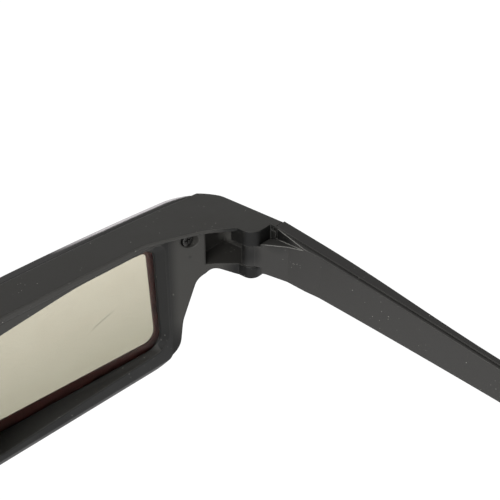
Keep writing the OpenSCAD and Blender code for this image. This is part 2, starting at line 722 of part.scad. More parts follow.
module charge_socket() placed() color("#a9abac") difference() {
    box(socket_x - socket_w / 2, socket_x + socket_w / 2, board_y - board_t - socket_d, board_y - board_t,
        socket_z, socket_z + socket_h);
    box(socket_x - socket_w / 2 + 0.35, socket_x + socket_w / 2 - 0.35, board_y - board_t - socket_d + 0.35,
        board_y - board_t - 0.35, socket_z - 1, socket_z + socket_h - 0.8);
}

module socket_tongue() placed() color("#1c1c1d")
    box(socket_x - 2.2, socket_x + 2.2, socket_y - 0.3, socket_y + 0.3, socket_z + 0.8, socket_z + socket_h - 0.8);

module tactile_switch() placed() color("#c9c9c4") difference() {
    box(button_x - 2.4, button_x + 2.4, board_y - board_t - 3, board_y - board_t, switch_z, switch_z + 1.6);
    translate([button_x, button_y, switch_z + 0.5]) cylinder(r = 0.95, h = 3);
}

module switch_plunger() placed() color("#3a3a3c")
    translate([button_x, button_y, switch_z + 1]) cylinder(r = 0.85, h = stem_z - switch_z - 1);

module stadium(l, w, g) {
    square([l - w, w + 2 * g], center = true);
    translate([(l - w) / 2, 0]) circle(r = w / 2 + g);
    translate([-(l - w) / 2, 0]) circle(r = w / 2 + g);
}

module power_button() placed() color("#2b2b2c") translate([button_x, button_y, 0]) {
    along_z(flange_z, frame_h + button_proud) stadium(button_l, button_w, 0);
    along_z(flange_z, flange_z + 0.8) stadium(button_l + 0.9, button_w, 0.45);
    translate([0, 0, stem_z]) cylinder(r = 1, h = flange_z - stem_z + e);
}

module status_led() placed() color("#e8e4c8")
    box(pipe_x - 0.5, pipe_x + 0.9, board_y - board_t - 2.2, board_y - board_t, board_z + board_h - 1.6,
        board_z + board_h - 0.6);

module light_pipe() placed() color("#e4e6e6") translate([pipe_x, button_y, 0]) {
    along_z(board_z + board_h - 0.5, frame_h) circle(r = pipe_r);
    along_z(roof_z - 0.9, roof_z - fit) circle(r = pipe_r + 0.4);
}

module sensor_board() placed() color("#1f5a38")
    box(-4.5, 4.5, bridge_seat_y - 2.8, bridge_seat_y - 2.8 + board_t,
        bridge_screw_z + boss_r + 0.5, roof_z - 1.6);

module sync_sensor() placed() color("#3b2f2f") {
    box(-1.9, 1.9, bridge_seat_y - 4.6, bridge_seat_y - 2.8, sensor_z - 1.6, sensor_z + 1.2);
    screw_bore(0, sensor_z - 0.2, 1.2, bridge_seat_y - 5.6, bridge_seat_y - 4.5);
}

module sensor_window() placed() color("#2a0f12") intersection() {
    screw_bore(0, sensor_z, sensor_r - fit, -far, 0);
    difference() {
        behind_front(0);
        behind_front(cover_t - 0.2);
    }
}

module hinge_pin(s) placed() on_side(s) color("#9a9a9c") {
    translate([hinge_x, hinge_y, wing_z + 0.4]) cylinder(r = pin_r, h = frame_h - 2.6 - wing_z - 0.4);
    translate([hinge_x, hinge_y, wing_z + 0.2]) cylinder(r = pin_head_r, h = 0.85);
}

// temples, drawn for the wearer's left side

// side outline with its upper edge lowered by t
function temple_outline(t) = let (c = [bend_cy, bend_cz], h = tip_r) concat(
    [[temple_y0, frame_h - t]],
    arc(c, bend_r + h - t, 90 - temple_drop, 90 - tip_drop, 12),
    arc([tip_y, tip_r], h, 90 - tip_drop - (t > 0 ? 12 : 0), -90 - tip_drop, 18),
    arc(c, bend_r - h, 90 - tip_drop, 90 - temple_drop, 12),
    [[temple_y0 + belly_y, frame_h - temple_h - belly], [temple_y0, frame_h - temple_h]]);

module along_x(x0, x1) translate([x0, 0, 0]) rotate([90, 0, 90]) linear_extrude(x1 - x0) children();

// how far the outer face has come in at distance d behind the seam
function taper_in(d) = let (t = min(1, max(0, (d - taper_from) / (taper_to - taper_from))))
    temple_taper * t * t * (3 - 2 * t);

// everything inside the temple's long curve seen from above, t further in and tapered by k
module temple_inside(t, k = 0) along_z(-1, frame_h + 1) polygon(concat(
    [for (d = [-temple_step : temple_step : temple_l + temple_step])
        [half_w - d * d / temple_r / 2 - t - k * taper_in(d), temple_y0 + d]],
    [[0, temple_y0 + temple_l], [0, temple_y0 - temple_step]]));

module temple_cover(s) placed() on_side(s) color("#3b3a38") difference() {
    intersection() {
        along_x(0, far) polygon(temple_outline(0));
        temple_inside(0, 1);
    }
    temple_inside(temple_cover_t);
    // hollow behind the arm
    intersection() {
        along_x(0, far) polygon([[temple_y0 + 14, frame_h - 5], [bend_start - 6, bend_z + 1.6],
            [bend_start - 6, bend_z - 1.6], [temple_y0 + 14, frame_h - temple_h + 1.6]]);
        temple_inside(temple_cover_t - hollow_d);
    }
}

// the thick front end of the arm, seen from above
function arm_root() = [root_front, root_bend, root_end,
    [half_w - temple_cover_t - 0.15, root_end.y], [half_w - temple_cover_t - 0.06, temple_y0],
    [hinge_x + knuckle_r - 0.2, ear_y - 0.3], [hinge_x + knuckle_r - 0.2, hinge_y], [hinge_x, hinge_y - 1.8]];

// the wall beside the scoop, which closes the arm up to its upper edge
function scoop_wall() = [[half_w - temple_cover_t - 0.06, temple_y0], scoop_end, root_end,
    [half_w - temple_cover_t - 0.15, root_end.y]];

// the same front end seen from the side
function arm_root_side() = let (low = frame_h - temple_h) [[hinge_y - knuckle_r - 1, knuckle_z0],
    [hinge_y - knuckle_r - 1, knuckle_z1], [ear_y + 0.4, knuckle_z1], [ear_y + 0.4, frame_h - scoop_d],
    [scoop_end.y, frame_h - scoop_d + scoop_rise],
    [temple_y0 + 14.8, frame_h - scoop_d], [temple_y0 + 14.8, low - belly - 0.36],
    [temple_y0 + belly_y, low - belly], [temple_y0, low],
    [ear_y + 0.4, low], [ear_y + 0.4, knuckle_z0]];

module temple_arm(s) placed() on_side(s) color("#454442") difference() {
    union() {
        intersection() {
            along_x(0, far) polygon(temple_outline(arm_inset));
            translate([0, temple_y0 + 9, -frame_h]) cube([far, 2 * far, far]);
            difference() {
                temple_inside(temple_cover_t + fit);
                temple_inside(temple_t);
            }
        }
        intersection() {
            along_z(0, frame_h) union() {
                polygon(arm_root());
                translate([hinge_x, hinge_y]) circle(r = knuckle_r);
            }
            along_x(0, far) polygon(arm_root_side());
        }
        intersection() {
            along_z(frame_h - 2 * scoop_d, frame_h) polygon(scoop_wall());
            along_x(0, far) polygon(temple_outline(arm_inset));
        }
    }
    translate([hinge_x, hinge_y, 0]) cylinder(r = pin_r + pin_gap, h = far);
}

rear_housing();
front_cover();
nose_pad();
frame_screws();
rear_film(-1);  // right_rear_film
rear_glass(-1);  // right_rear_glass
edge_seal(-1);  // right_edge_seal
front_glass(-1);  // right_front_glass
front_film(-1);  // right_front_film
lens_gasket(-1);  // right_lens_gasket
lens_tail(-1);  // right_lens_tail
rear_film(1);  // left_rear_film
rear_glass(1);  // left_rear_glass
edge_seal(1);  // left_edge_seal
front_glass(1);  // left_front_glass
front_film(1);  // left_front_film
lens_gasket(1);  // left_lens_gasket
lens_tail(1);  // left_lens_tail
main_board();
board_chips();
battery_cell();
brow_ribbon();
charge_socket();
socket_tongue();
tactile_switch();
switch_plunger();
power_button();
status_led();
light_pipe();
sensor_board();
sync_sensor();
sensor_window();
hinge_pin(-1);  // right_hinge_pin
hinge_pin(1);  // left_hinge_pin
temple_arm(-1);  // right_temple_arm
temple_cover(-1);  // right_temple_cover
temple_arm(1);  // left_temple_arm
temple_cover(1);  // left_temple_cover
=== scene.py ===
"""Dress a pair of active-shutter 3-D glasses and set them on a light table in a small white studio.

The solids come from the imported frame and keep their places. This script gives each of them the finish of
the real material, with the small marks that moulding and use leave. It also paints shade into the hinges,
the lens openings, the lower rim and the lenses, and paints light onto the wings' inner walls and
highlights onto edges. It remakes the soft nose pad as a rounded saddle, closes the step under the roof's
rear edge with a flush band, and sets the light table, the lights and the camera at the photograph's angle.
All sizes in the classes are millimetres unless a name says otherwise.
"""

import logging
import math
from dataclasses import dataclass, field
from enum import Enum
from typing import Any

import bmesh
import bpy
from bpy.types import Material, Node, NodeSocket, NodeTree, Object
from mathutils import Matrix, Vector


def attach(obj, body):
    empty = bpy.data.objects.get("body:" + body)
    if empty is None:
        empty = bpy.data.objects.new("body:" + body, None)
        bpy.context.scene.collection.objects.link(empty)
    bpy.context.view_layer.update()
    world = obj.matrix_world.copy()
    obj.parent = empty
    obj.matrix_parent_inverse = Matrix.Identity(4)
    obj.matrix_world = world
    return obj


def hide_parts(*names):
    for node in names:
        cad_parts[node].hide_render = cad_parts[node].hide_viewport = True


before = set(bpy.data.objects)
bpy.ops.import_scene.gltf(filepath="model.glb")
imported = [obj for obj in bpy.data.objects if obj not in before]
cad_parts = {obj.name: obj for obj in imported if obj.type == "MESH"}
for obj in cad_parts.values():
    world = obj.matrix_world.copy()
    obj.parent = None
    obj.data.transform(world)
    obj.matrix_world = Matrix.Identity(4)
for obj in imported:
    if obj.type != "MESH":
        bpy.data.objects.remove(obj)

LOG = logging.getLogger("shutter_glasses")
MM = 0.001
# The rim's rear face: its y at the middle of the frame, and how far it comes back for each mm outward.
REAR_Y = -70.996
REAR_SLOPE = 0.0594
# The body that the pieces made here ride on.
FRAME_BODY = "frame"
# How many rays a finish sends out to round an edge.
EDGE_RAYS = 6
# The range that most values of a noise lie in.
NOISE_LOW, NOISE_HIGH = 0.3, 0.7
Point = tuple[float, float, float]


class Side(Enum):
    """The wearer's two sides."""

    RIGHT = "right"
    LEFT = "left"


def linear(code: str) -> tuple[float, float, float, float]:
    """Turn an sRGB hex colour into linear light.

    Args:
        code: The colour as "#RRGGBB".

    Returns:
        Red, green, blue and an alpha of one, in linear light.
    """
    parts = [int(code[i:i + 2], 16) / 255 for i in (1, 3, 5)]
    red, green, blue = (c / 12.92 if c <= 0.04045 else ((c + 0.055) / 1.055) ** 2.4 for c in parts)
    return red, green, blue, 1.0


def add_node(tree: NodeTree, kind: str, inputs: dict[Any, Any] | None = None, **settings: Any) -> Node:
    """Add one node to a tree, with its settings, values and links.

    Args:
        tree: The node tree that the node goes into.
        kind: Blender's name for the node, without its "ShaderNode" start.
        inputs: What goes into each input, by name or number: a socket to link, or a value to set.
        settings: Attributes of the node itself.

    Returns:
        The new node.
    """
    node = tree.nodes.new("ShaderNode" + kind)
    for name, value in settings.items():
        setattr(node, name, value)
    for key, value in (inputs or {}).items():
        if isinstance(value, NodeSocket):
            tree.links.new(value, node.inputs[key])
        else:
            node.inputs[key].default_value = value
    return node


def every(size_mm: float) -> float:
    """Return the texture scale that gives one feature every size_mm."""
    return 1.0 / (size_mm * MM)


@dataclass(frozen=True)
class Mark:
    """A small round spot on a surface, such as a sink mark, a patch of dust, or a spot of painted shade,
    painted light or painted glints.
    """

    centre: Point
    radius: float
    depth: float = 0.8
    walls_only: bool = False
    core: float = 0.5
    wall_limit: float = 0.7

    def cover(self, tree: NodeTree, place: NodeSocket) -> NodeSocket:
        """Find the spot on the surface.

        Args:
            tree: The material's node tree.
            place: Position on the part in metres.

        Returns:
            The mark's depth in its core, falling to 0 at its rim.
        """
        centre = tuple(c * MM for c in self.centre)
        away = add_node(tree, "VectorMath", {0: place, 1: centre}, operation="DISTANCE")
        spot = add_node(tree, "MapRange", {"Value": away.outputs["Value"], "From Min": self.radius * MM,
                                           "From Max": self.core * self.radius * MM,
                                           "To Max": self.depth})
        if not self.walls_only:
            return spot.outputs["Result"]
        facing = add_node(tree, "NewGeometry").outputs["True Normal"]
        upward = add_node(tree, "SeparateXYZ", {"Vector": facing}).outputs["Z"]
        wall = add_node(tree, "Math", {0: upward, 1: self.wall_limit}, operation="LESS_THAN")
        both = add_node(tree, "Math", {0: spot.outputs["Result"], 1: wall.outputs["Value"]},
                        operation="MULTIPLY")
        return both.outputs["Value"]


@dataclass(frozen=True)
class Finish:
    """A finish: one named material, made the first time it is asked for."""

    name: str

    def material(self) -> Material:
        """Find this finish's material, or make it if there is none yet.

        Returns:
            The material.
        """
        made = bpy.data.materials.get(self.name)
        if made is not None:
            return made
        made = bpy.data.materials.new(self.name)
        made.use_nodes = True
        tree = made.node_tree
        tree.nodes.clear()
        place = add_node(tree, "TexCoord").outputs["Object"]
        shader = self.shade(tree, place)
        add_node(tree, "OutputMaterial", {"Surface": shader.outputs[0]})
        return made

    def shade(self, tree: NodeTree, place: NodeSocket) -> Node:
        """Build the shader that this finish shows, from the position on the part in metres."""
        raise NotImplementedError


@dataclass(frozen=True)
class MouldedAbs(Finish):
    """ABS moulded in a spark-eroded tool.

    It gives the eye a dull black that takes its tone from the room, a fine sparkle of grain, edges that
    are paler, partly from being worn and partly as painted highlight, painted shade, painted light and
    painted glints in given spots, and pale dust.
    """

    colour: str = "#373633"
    cloud: str = "#31302E"
    # Paler grey: worn edges, painted highlights on edges, and painted light on walls in shade.
    worn_and_lit: str = "#8F8E89"
    dust: str = "#C9C7BF"
    # Near-black, for moulding marks and for painted shade.
    smooth: str = "#070706"
    roughness: float = 0.50
    rough_less: float = 0.05
    rough_more: float = 0.06
    ior: float = 1.54
    specular: float = 0.27
    cloud_mm: float = 9.0
    grain_mm: float = 0.34
    grain_depth_mm: float = 0.03
    grain_strength: float = 0.5
    edge_mm: float = 0.7
    dust_gap_mm: float = 3.3
    dust_r_mm: float = 0.13
    flock_gap_mm: float = 1.1
    flock_r_mm: float = 0.12
    flock_mm: float = 8.0
    flock_from: float = 0.58
    flock_full: float = 0.64
    # How pale the edges go, partly from being worn and partly as painted highlight.
    wear_and_highlight: float = 0.3
    wear_and_highlight_mm: float = 0.25
    wear_and_highlight_from: float = 0.99
    wear_and_highlight_full: float = 0.88
    painted_glint_gain: float = 9.0
    # Moulding marks and spots of painted shade.
    marks: tuple[Mark, ...] = ()
    # Spots of painted light.
    painted_light_spots: tuple[Mark, ...] = ()
    scuffs: tuple[Mark, ...] = ()
    # Spots whose edges get painted glints.
    painted_glints: tuple[Mark, ...] = ()

    def shade(self, tree: NodeTree, place: NodeSocket) -> Node:
        """Build the grained plastic.

        Args:
            tree: The material's node tree.
            place: Position on the part in metres.

        Returns:
            The Principled BSDF node.
        """
        # The spark-eroded grain is about 0.05 mm across. It is drawn coarser here so that it shows.
        grain = add_node(tree, "TexNoise", {"Vector": place, "Scale": every(self.grain_mm), "Detail": 3.0})
        round_edge = add_node(tree, "Bevel", {"Radius": self.edge_mm * MM}, samples=EDGE_RAYS)
        bump = add_node(tree, "Bump", {"Height": grain.outputs["Fac"], "Normal": round_edge.outputs["Normal"],
                                       "Strength": self.grain_strength, "Distance": self.grain_depth_mm * MM})
        clouds = add_node(tree, "TexNoise", {"Vector": place, "Scale": every(self.cloud_mm), "Detail": 4.0})
        tone = add_node(tree, "Mix", {"Factor": clouds.outputs["Fac"], "A": linear(self.cloud),
                                      "B": linear(self.colour)}, data_type="RGBA")
        # Each layer lies over the ones before it: marks and painted shade, paler edges, painted light, and
        # dust.
        layers = [(dark_place, self.smooth) for dark_place in self.shade_and_mark_places(tree, place)]
        layers.append((self.edge_wear_and_highlight(tree, place, clouds), self.worn_and_lit))
        layers += [(lit_spot.cover(tree, place), self.worn_and_lit) for lit_spot in self.painted_light_spots]
        layers.append((self.specks(tree, place), self.dust))
        for cover, colour in layers:
            tone = add_node(tree, "Mix", {"Factor": cover, "A": tone.outputs["Result"], "B": linear(colour)},
                            data_type="RGBA")
        gloss = add_node(tree, "MapRange", {"Value": clouds.outputs["Fac"], "From Min": NOISE_LOW,
                                            "From Max": NOISE_HIGH,
                                            "To Min": self.roughness - self.rough_less,
                                            "To Max": self.roughness + self.rough_more})
        return add_node(tree, "BsdfPrincipled", {"Base Color": tone.outputs["Result"],
                                                 "Roughness": gloss.outputs["Result"], "IOR": self.ior,
                                                 "Specular IOR Level": self.specular,
                                                 "Normal": bump.outputs["Normal"]})

    def shade_and_mark_places(self, tree: NodeTree, place: NodeSocket) -> list[NodeSocket]:
        """List a mask for each mark, drawn near-black: moulding marks and painted shade."""
        return [mark.cover(tree, place) for mark in self.marks]

    def edge_wear_and_highlight(self, tree: NodeTree, place: NodeSocket, clouds: Node) -> NodeSocket:
        """Find the edges, paler partly from being worn and partly as painted highlight, brightest at the
        painted glints.

        Args:
            tree: The material's node tree.
            place: Position on the part in metres.
            clouds: Slow noise that breaks the paler edges up.

        Returns:
            How pale each place is, from 0 to 1.
        """
        flat = add_node(tree, "NewGeometry").outputs["Normal"]
        tight = add_node(tree, "Bevel", {"Radius": self.wear_and_highlight_mm * MM}, samples=EDGE_RAYS)
        turn = add_node(tree, "VectorMath", {0: flat, 1: tight.outputs["Normal"]}, operation="DOT_PRODUCT")
        edge = add_node(tree, "MapRange", {"Value": turn.outputs["Value"], "From Min": self.wear_and_highlight_from,
                                           "From Max": self.wear_and_highlight_full, "To Max": self.wear_and_highlight})
        worn = add_node(tree, "Math", {0: edge.outputs["Result"], 1: clouds.outputs["Fac"]},
                        operation="MULTIPLY")
        # Painted glints: the edges in these spots are drawn much paler.
        for painted_glint in self.painted_glints:
            boost = add_node(tree, "Math", {0: painted_glint.cover(tree, place), 1: self.painted_glint_gain, 2: 1.0},
                             operation="MULTIPLY_ADD")
            worn = add_node(tree, "Math", {0: worn.outputs["Value"], 1: boost.outputs["Value"]},
                            operation="MULTIPLY", use_clamp=True)
        return worn.outputs["Value"]

    def specks(self, tree: NodeTree, place: NodeSocket) -> NodeSocket:
        """Scatter single dust specks, and flocks of smaller ones.

        Args:
            tree: The material's node tree.
            place: Position on the part in metres.

        Returns:
            How much dust covers each place, from 0 to 1.
        """
        spots: list[NodeSocket] = []
        for gap, radius in ((self.dust_gap_mm, self.dust_r_mm), (self.flock_gap_mm, self.flock_r_mm)):
            cells = add_node(tree, "TexVoronoi", {"Vector": place, "Scale": every(gap)})
            spot = add_node(tree, "MapRange", {"Value": cells.outputs["Distance"], "From Min": radius / gap,
                                               "From Max": 0.0})
            spots.append(spot.outputs["Result"])
        lone, mote = spots
        patch = add_node(tree, "TexNoise", {"Vector": place, "Scale": every(self.flock_mm), "Detail": 1.0})
        where = add_node(tree, "MapRange", {"Value": patch.outputs["Fac"], "From Min": self.flock_from,
                                            "From Max": self.flock_full})
        dense = where.outputs["Result"]
        for scuff in self.scuffs:
            dense = add_node(tree, "Math", {0: dense, 1: scuff.cover(tree, place)},
                             operation="MAXIMUM").outputs["Value"]
        flock = add_node(tree, "Math", {0: mote, 1: dense}, operation="MULTIPLY")
        dust = add_node(tree, "Math", {0: lone, 1: flock.outputs["Value"]}, operation="MAXIMUM")
        return dust.outputs["Value"]


@dataclass(frozen=True)
class HousingAbs(MouldedAbs):
    """The housing's ABS, with painted shade: its lens openings and its lower rim are drawn near-black."""

    recess_from_mm: float = 0.2
    recess_full_mm: float = 5.0
    recess_shade_depth: float = 0.75
    roof_z_mm: float = 37.4
    low_from_mm: float = 13.0
    low_full_mm: float = 6.0
    sill_from: float = 0.2
    sill_full: float = 0.6
    lip_from_mm: float = 69.6
    lip_full_mm: float = 66.8
    lip_end_mm: float = 63.46
    lip_shade_depth: float = 0.85

    def shade_and_mark_places(self, tree: NodeTree, place: NodeSocket) -> list[NodeSocket]:
        """List the painted shade on the walls and lips of the lens openings and on the lower rim, and the
        marks.

        Args:
            tree: The material's node tree.
            place: Position on the part in metres.

        Returns:
            One mask for each kind of place, more than 0 where it is darkened.
        """
        # Painted shade: the walls of the openings behind the rear face, the lower rim and the openings' lips.
        axes = add_node(tree, "SeparateXYZ", {"Vector": place})
        out = add_node(tree, "Math", {0: axes.outputs["X"]}, operation="ABSOLUTE")
        face = add_node(tree, "Math", {0: out.outputs["Value"], 1: REAR_SLOPE, 2: REAR_Y * MM},
                        operation="MULTIPLY_ADD")
        depth = add_node(tree, "Math", {0: face.outputs["Value"], 1: axes.outputs["Y"]}, operation="SUBTRACT")
        inside = add_node(tree, "MapRange", {"Value": depth.outputs["Value"],
                                             "From Min": self.recess_from_mm * MM,
                                             "From Max": self.recess_full_mm * MM,
                                             "To Max": self.recess_shade_depth})
        under = add_node(tree, "Math", {0: axes.outputs["Z"], 1: self.roof_z_mm * MM}, operation="LESS_THAN")
        recess_shade = add_node(tree, "Math", {0: inside.outputs["Result"], 1: under.outputs["Value"]},
                          operation="MULTIPLY")
        low = self.low_rim_shade(tree, axes)
        lip = self.opening_lip_shade(tree, out, under)
        return [recess_shade.outputs["Value"], low, lip, *super().shade_and_mark_places(tree, place)]

    def low_rim_shade(self, tree: NodeTree, axes: Node) -> NodeSocket:
        """Find the painted shade on the lower rim, darker towards the bottom, less the sills of the lens
        openings.

        Args:
            tree: The material's node tree.
            axes: The node that gives the position's parts.

        Returns:
            How deep the painted shade is at each place, from 0 to 1.
        """
        low = add_node(tree, "MapRange", {"Value": axes.outputs["Z"], "From Min": self.low_from_mm * MM,
                                          "From Max": self.low_full_mm * MM})
        facing = add_node(tree, "NewGeometry").outputs["True Normal"]
        upward = add_node(tree, "SeparateXYZ", {"Vector": facing}).outputs["Z"]
        sill = add_node(tree, "MapRange", {"Value": upward, "From Min": self.sill_from,
                                           "From Max": self.sill_full, "To Min": 1.0, "To Max": 0.0})
        rim = add_node(tree, "Math", {0: low.outputs["Result"], 1: sill.outputs["Result"]},
                       operation="MULTIPLY")
        return rim.outputs["Value"]

    def opening_lip_shade(self, tree: NodeTree, out: Node, under: Node) -> NodeSocket:
        """Find the painted shade on the rounded lip at the outer end of each lens opening.

        Args:
            tree: The material's node tree.
            out: The node that gives the distance from the middle of the frame.
            under: The node that is 1 below the roof.

        Returns:
            The painted shade's depth at the opening's edge, falling to 0 on the rear face.
        """
        near = add_node(tree, "MapRange", {"Value": out.outputs["Value"], "From Min": self.lip_from_mm * MM,
                                           "From Max": self.lip_full_mm * MM, "To Max": self.lip_shade_depth},
                        interpolation_type="SMOOTHSTEP")
        end = add_node(tree, "Math", {0: out.outputs["Value"], 1: self.lip_end_mm * MM},
                       operation="GREATER_THAN")
        here = add_node(tree, "Math", {0: near.outputs["Result"], 1: end.outputs["Value"]},
                        operation="MULTIPLY")
        lip = add_node(tree, "Math", {0: here.outputs["Value"], 1: under.outputs["Value"]},
                       operation="MULTIPLY")
        return lip.outputs["Value"]


@dataclass(frozen=True)
class PolishedAbs(Finish):
    """ABS moulded in a tool with a polished front and a grained top.

    The front gives the eye a deep gloss with faint wiping marks and a rounded edge, and a painted highlight
    lies as a pale line along its upper front edge.
    The top is as dull as the housing behind it.
    """

    colour: str = "#2E2D2C"
    smear: str = "#333231"
    # The pale colour of the painted highlight on the upper front edge.
    painted_highlight: str = "#EFE8EB"
    roughness: float = 0.10
    dull: float = 0.50
    ior: float = 1.54
    specular: float = 0.4
    smear_mm: float = 14.0
    grain_mm: float = 0.34
    grain_depth_mm: float = 0.03
    grain_strength: float = 0.5
    edge_mm: float = 2.0
    edge_rays: int = 8
    seam_mm: float = 0.3
    front_from: float = -0.08
    gloss_full: float = -0.3
    line_full: float = -0.22
    line_up_from: float = 0.3
    line_up_full: float = 0.5
    edge_z_mm: float = 38.5
    edge_from_mm: float = 42.0
    edge_full_mm: float = 58.0

    def shade(self, tree: NodeTree, place: NodeSocket) -> Node:
        """Build the plastic, dull where it faces up and glossy where it faces forward.

        Args:
            tree: The material's node tree.
            place: Position on the part in metres.

        Returns:
            The Principled BSDF node.
        """
        smears = add_node(tree, "TexNoise", {"Vector": place, "Scale": every(self.smear_mm), "Detail": 5.0,
                                             "Distortion": 1.2})
        # The grain is drawn as coarse as the housing's, so that it shows.
        grain = add_node(tree, "TexNoise", {"Vector": place, "Scale": every(self.grain_mm), "Detail": 3.0})
        tone = add_node(tree, "Mix", {"Factor": smears.outputs["Fac"], "A": linear(self.colour),
                                      "B": linear(self.smear)}, data_type="RGBA")
        wide = add_node(tree, "Bevel", {"Radius": self.edge_mm * MM}, samples=self.edge_rays)
        tight = add_node(tree, "Bevel", {"Radius": self.seam_mm * MM}, samples=EDGE_RAYS)
        reach = self.edge_reach(tree, place)
        round_edge = add_node(tree, "Mix", {"Factor": reach, "A": tight.outputs["Normal"],
                                            "B": wide.outputs["Normal"]}, data_type="VECTOR")
        facing = add_node(tree, "SeparateXYZ", {"Vector": round_edge.outputs["Result"]})
        shine = add_node(tree, "MapRange", {"Value": facing.outputs["Y"], "From Min": self.front_from,
                                            "From Max": self.gloss_full})
        # Painted highlight: a pale line along the upper front edge.
        bright = self.painted_highlight_line(tree, place, wide, reach)
        tone = add_node(tree, "Mix", {"Factor": bright, "A": tone.outputs["Result"],
                                      "B": linear(self.painted_highlight)}, data_type="RGBA")
        gloss = add_node(tree, "MapRange", {"Value": shine.outputs["Result"], "To Min": self.dull,
                                            "To Max": self.roughness})
        tooth = add_node(tree, "Math", {0: self.grain_strength, 1: gloss.outputs["Result"]},
                         operation="MULTIPLY")
        bump = add_node(tree, "Bump", {"Height": grain.outputs["Fac"], "Normal": round_edge.outputs["Result"],
                                       "Strength": tooth.outputs["Value"],
                                       "Distance": self.grain_depth_mm * MM})
        return add_node(tree, "BsdfPrincipled", {"Base Color": tone.outputs["Result"],
                                                 "Roughness": gloss.outputs["Result"], "IOR": self.ior,
                                                 "Specular IOR Level": self.specular,
                                                 "Normal": bump.outputs["Normal"]})

    def painted_highlight_line(self, tree: NodeTree, place: NodeSocket, wide: Node, reach: NodeSocket) -> NodeSocket:
        """Find the painted highlight: a pale line along the upper front edge.

        Args:
            tree: The material's node tree.
            place: Position on the part in metres.
            wide: The node that gives the widely rounded normal.
            reach: How full the rounding of the edge is.

        Returns:
            1 on the line and 0 elsewhere.
        """
        axes = add_node(tree, "SeparateXYZ", {"Vector": wide.outputs["Normal"]})
        forward = add_node(tree, "MapRange", {"Value": axes.outputs["Y"], "From Min": self.front_from,
                                              "From Max": self.line_full})
        upward = add_node(tree, "MapRange", {"Value": axes.outputs["Z"], "From Min": self.line_up_from,
                                             "From Max": self.line_up_full})
        height = add_node(tree, "SeparateXYZ", {"Vector": place}).outputs["Z"]
        top = add_node(tree, "Math", {0: height, 1: self.edge_z_mm * MM}, operation="GREATER_THAN")
        line = forward.outputs["Result"]
        for limit in (upward.outputs["Result"], top.outputs["Value"], reach):
            line = add_node(tree, "Math", {0: line, 1: limit}, operation="MULTIPLY").outputs["Value"]
        return line

    def edge_reach(self, tree: NodeTree, place: NodeSocket) -> NodeSocket:
        """Say how full the rounding of the front edge is: slight at the bridge, full at the corners.

        Args:
            tree: The material's node tree.
            place: Position on the part in metres.

        Returns:
            0 at the bridge and 1 at the corners.
        """
        across = add_node(tree, "SeparateXYZ", {"Vector": place})
        out = add_node(tree, "Math", {0: across.outputs["X"]}, operation="ABSOLUTE")
        reach = add_node(tree, "MapRange", {"Value": out.outputs["Value"], "From Min": self.edge_from_mm * MM,
                                            "From Max": self.edge_full_mm * MM})
        return reach.outputs["Result"]


@dataclass(frozen=True)
class MouldedElastomer(Finish):
    """Thermoplastic elastomer, moulded: matt and slightly milky, with a fine tooth."""

    colour: str = "#1E1E1D"
    bloom: str = "#2A2926"
    roughness: float = 0.75
    ior: float = 1.5
    specular: float = 0.4
    sheen: float = 0.1
    bloom_mm: float = 6.0
    tooth_mm: float = 0.5
    tooth_depth_mm: float = 0.04
    tooth_strength: float = 0.4

    def shade(self, tree: NodeTree, place: NodeSocket) -> Node:
        """Build the rubber.

        Args:
            tree: The material's node tree.
            place: Position on the part in metres.

        Returns:
            The Principled BSDF node.
        """
        # The tooth of the tool is finer than this. It is drawn coarser so that it shows.
        tooth = add_node(tree, "TexNoise", {"Vector": place, "Scale": every(self.tooth_mm), "Detail": 3.0})
        bloom = add_node(tree, "TexNoise", {"Vector": place, "Scale": every(self.bloom_mm), "Detail": 4.0})
        tone = add_node(tree, "Mix", {"Factor": bloom.outputs["Fac"], "A": linear(self.colour),
                                      "B": linear(self.bloom)}, data_type="RGBA")
        bump = add_node(tree, "Bump", {"Height": tooth.outputs["Fac"], "Strength": self.tooth_strength,
                                       "Distance": self.tooth_depth_mm * MM})
        return add_node(tree, "BsdfPrincipled", {"Base Color": tone.outputs["Result"],
                                                 "Roughness": self.roughness, "IOR": self.ior,
                                                 "Specular IOR Level": self.specular,
                                                 "Sheen Weight": self.sheen,
                                                 "Normal": bump.outputs["Normal"]})


@dataclass(frozen=True)
class PlatedMetal(Finish):
    """Steel or aluminium, turned or pressed and plated: bright, with fine lines from the tool."""

    colour: str = "#7A7977"
    tarnish: str = "#454443"
    roughness: float = 0.3
    stain_mm: float = 0.9
    line_mm: float = 0.12
    line_depth_mm: float = 0.02
    line_strength: float = 0.25
    edge_mm: float = 0.12

    def shade(self, tree: NodeTree, place: NodeSocket) -> Node:
        """Build the plated metal.

        Args:
            tree: The material's node tree.
            place: Position on the part in metres.

        Returns:
            The Principled BSDF node.
        """
        # The lines of the tool are finer than this. They are drawn coarser so that they show.
        lines = add_node(tree, "TexNoise", {"Vector": place, "Scale": every(self.line_mm), "Detail": 2.0})
        stain = add_node(tree, "TexNoise", {"Vector": place, "Scale": every(self.stain_mm), "Detail": 4.0})
        tone = add_node(tree, "Mix", {"Factor": stain.outputs["Fac"], "A": linear(self.tarnish),
                                      "B": linear(self.colour)}, data_type="RGBA")
        round_edge = add_node(tree, "Bevel", {"Radius": self.edge_mm * MM}, samples=EDGE_RAYS)
        bump = add_node(tree, "Bump", {"Height": lines.outputs["Fac"], "Normal": round_edge.outputs["Normal"],
                                       "Strength": self.line_strength, "Distance": self.line_depth_mm * MM})
        return add_node(tree, "BsdfPrincipled", {"Base Color": tone.outputs["Result"], "Metallic": 1.0,
                                                 "Roughness": self.roughness,
                                                 "Normal": bump.outputs["Normal"]})


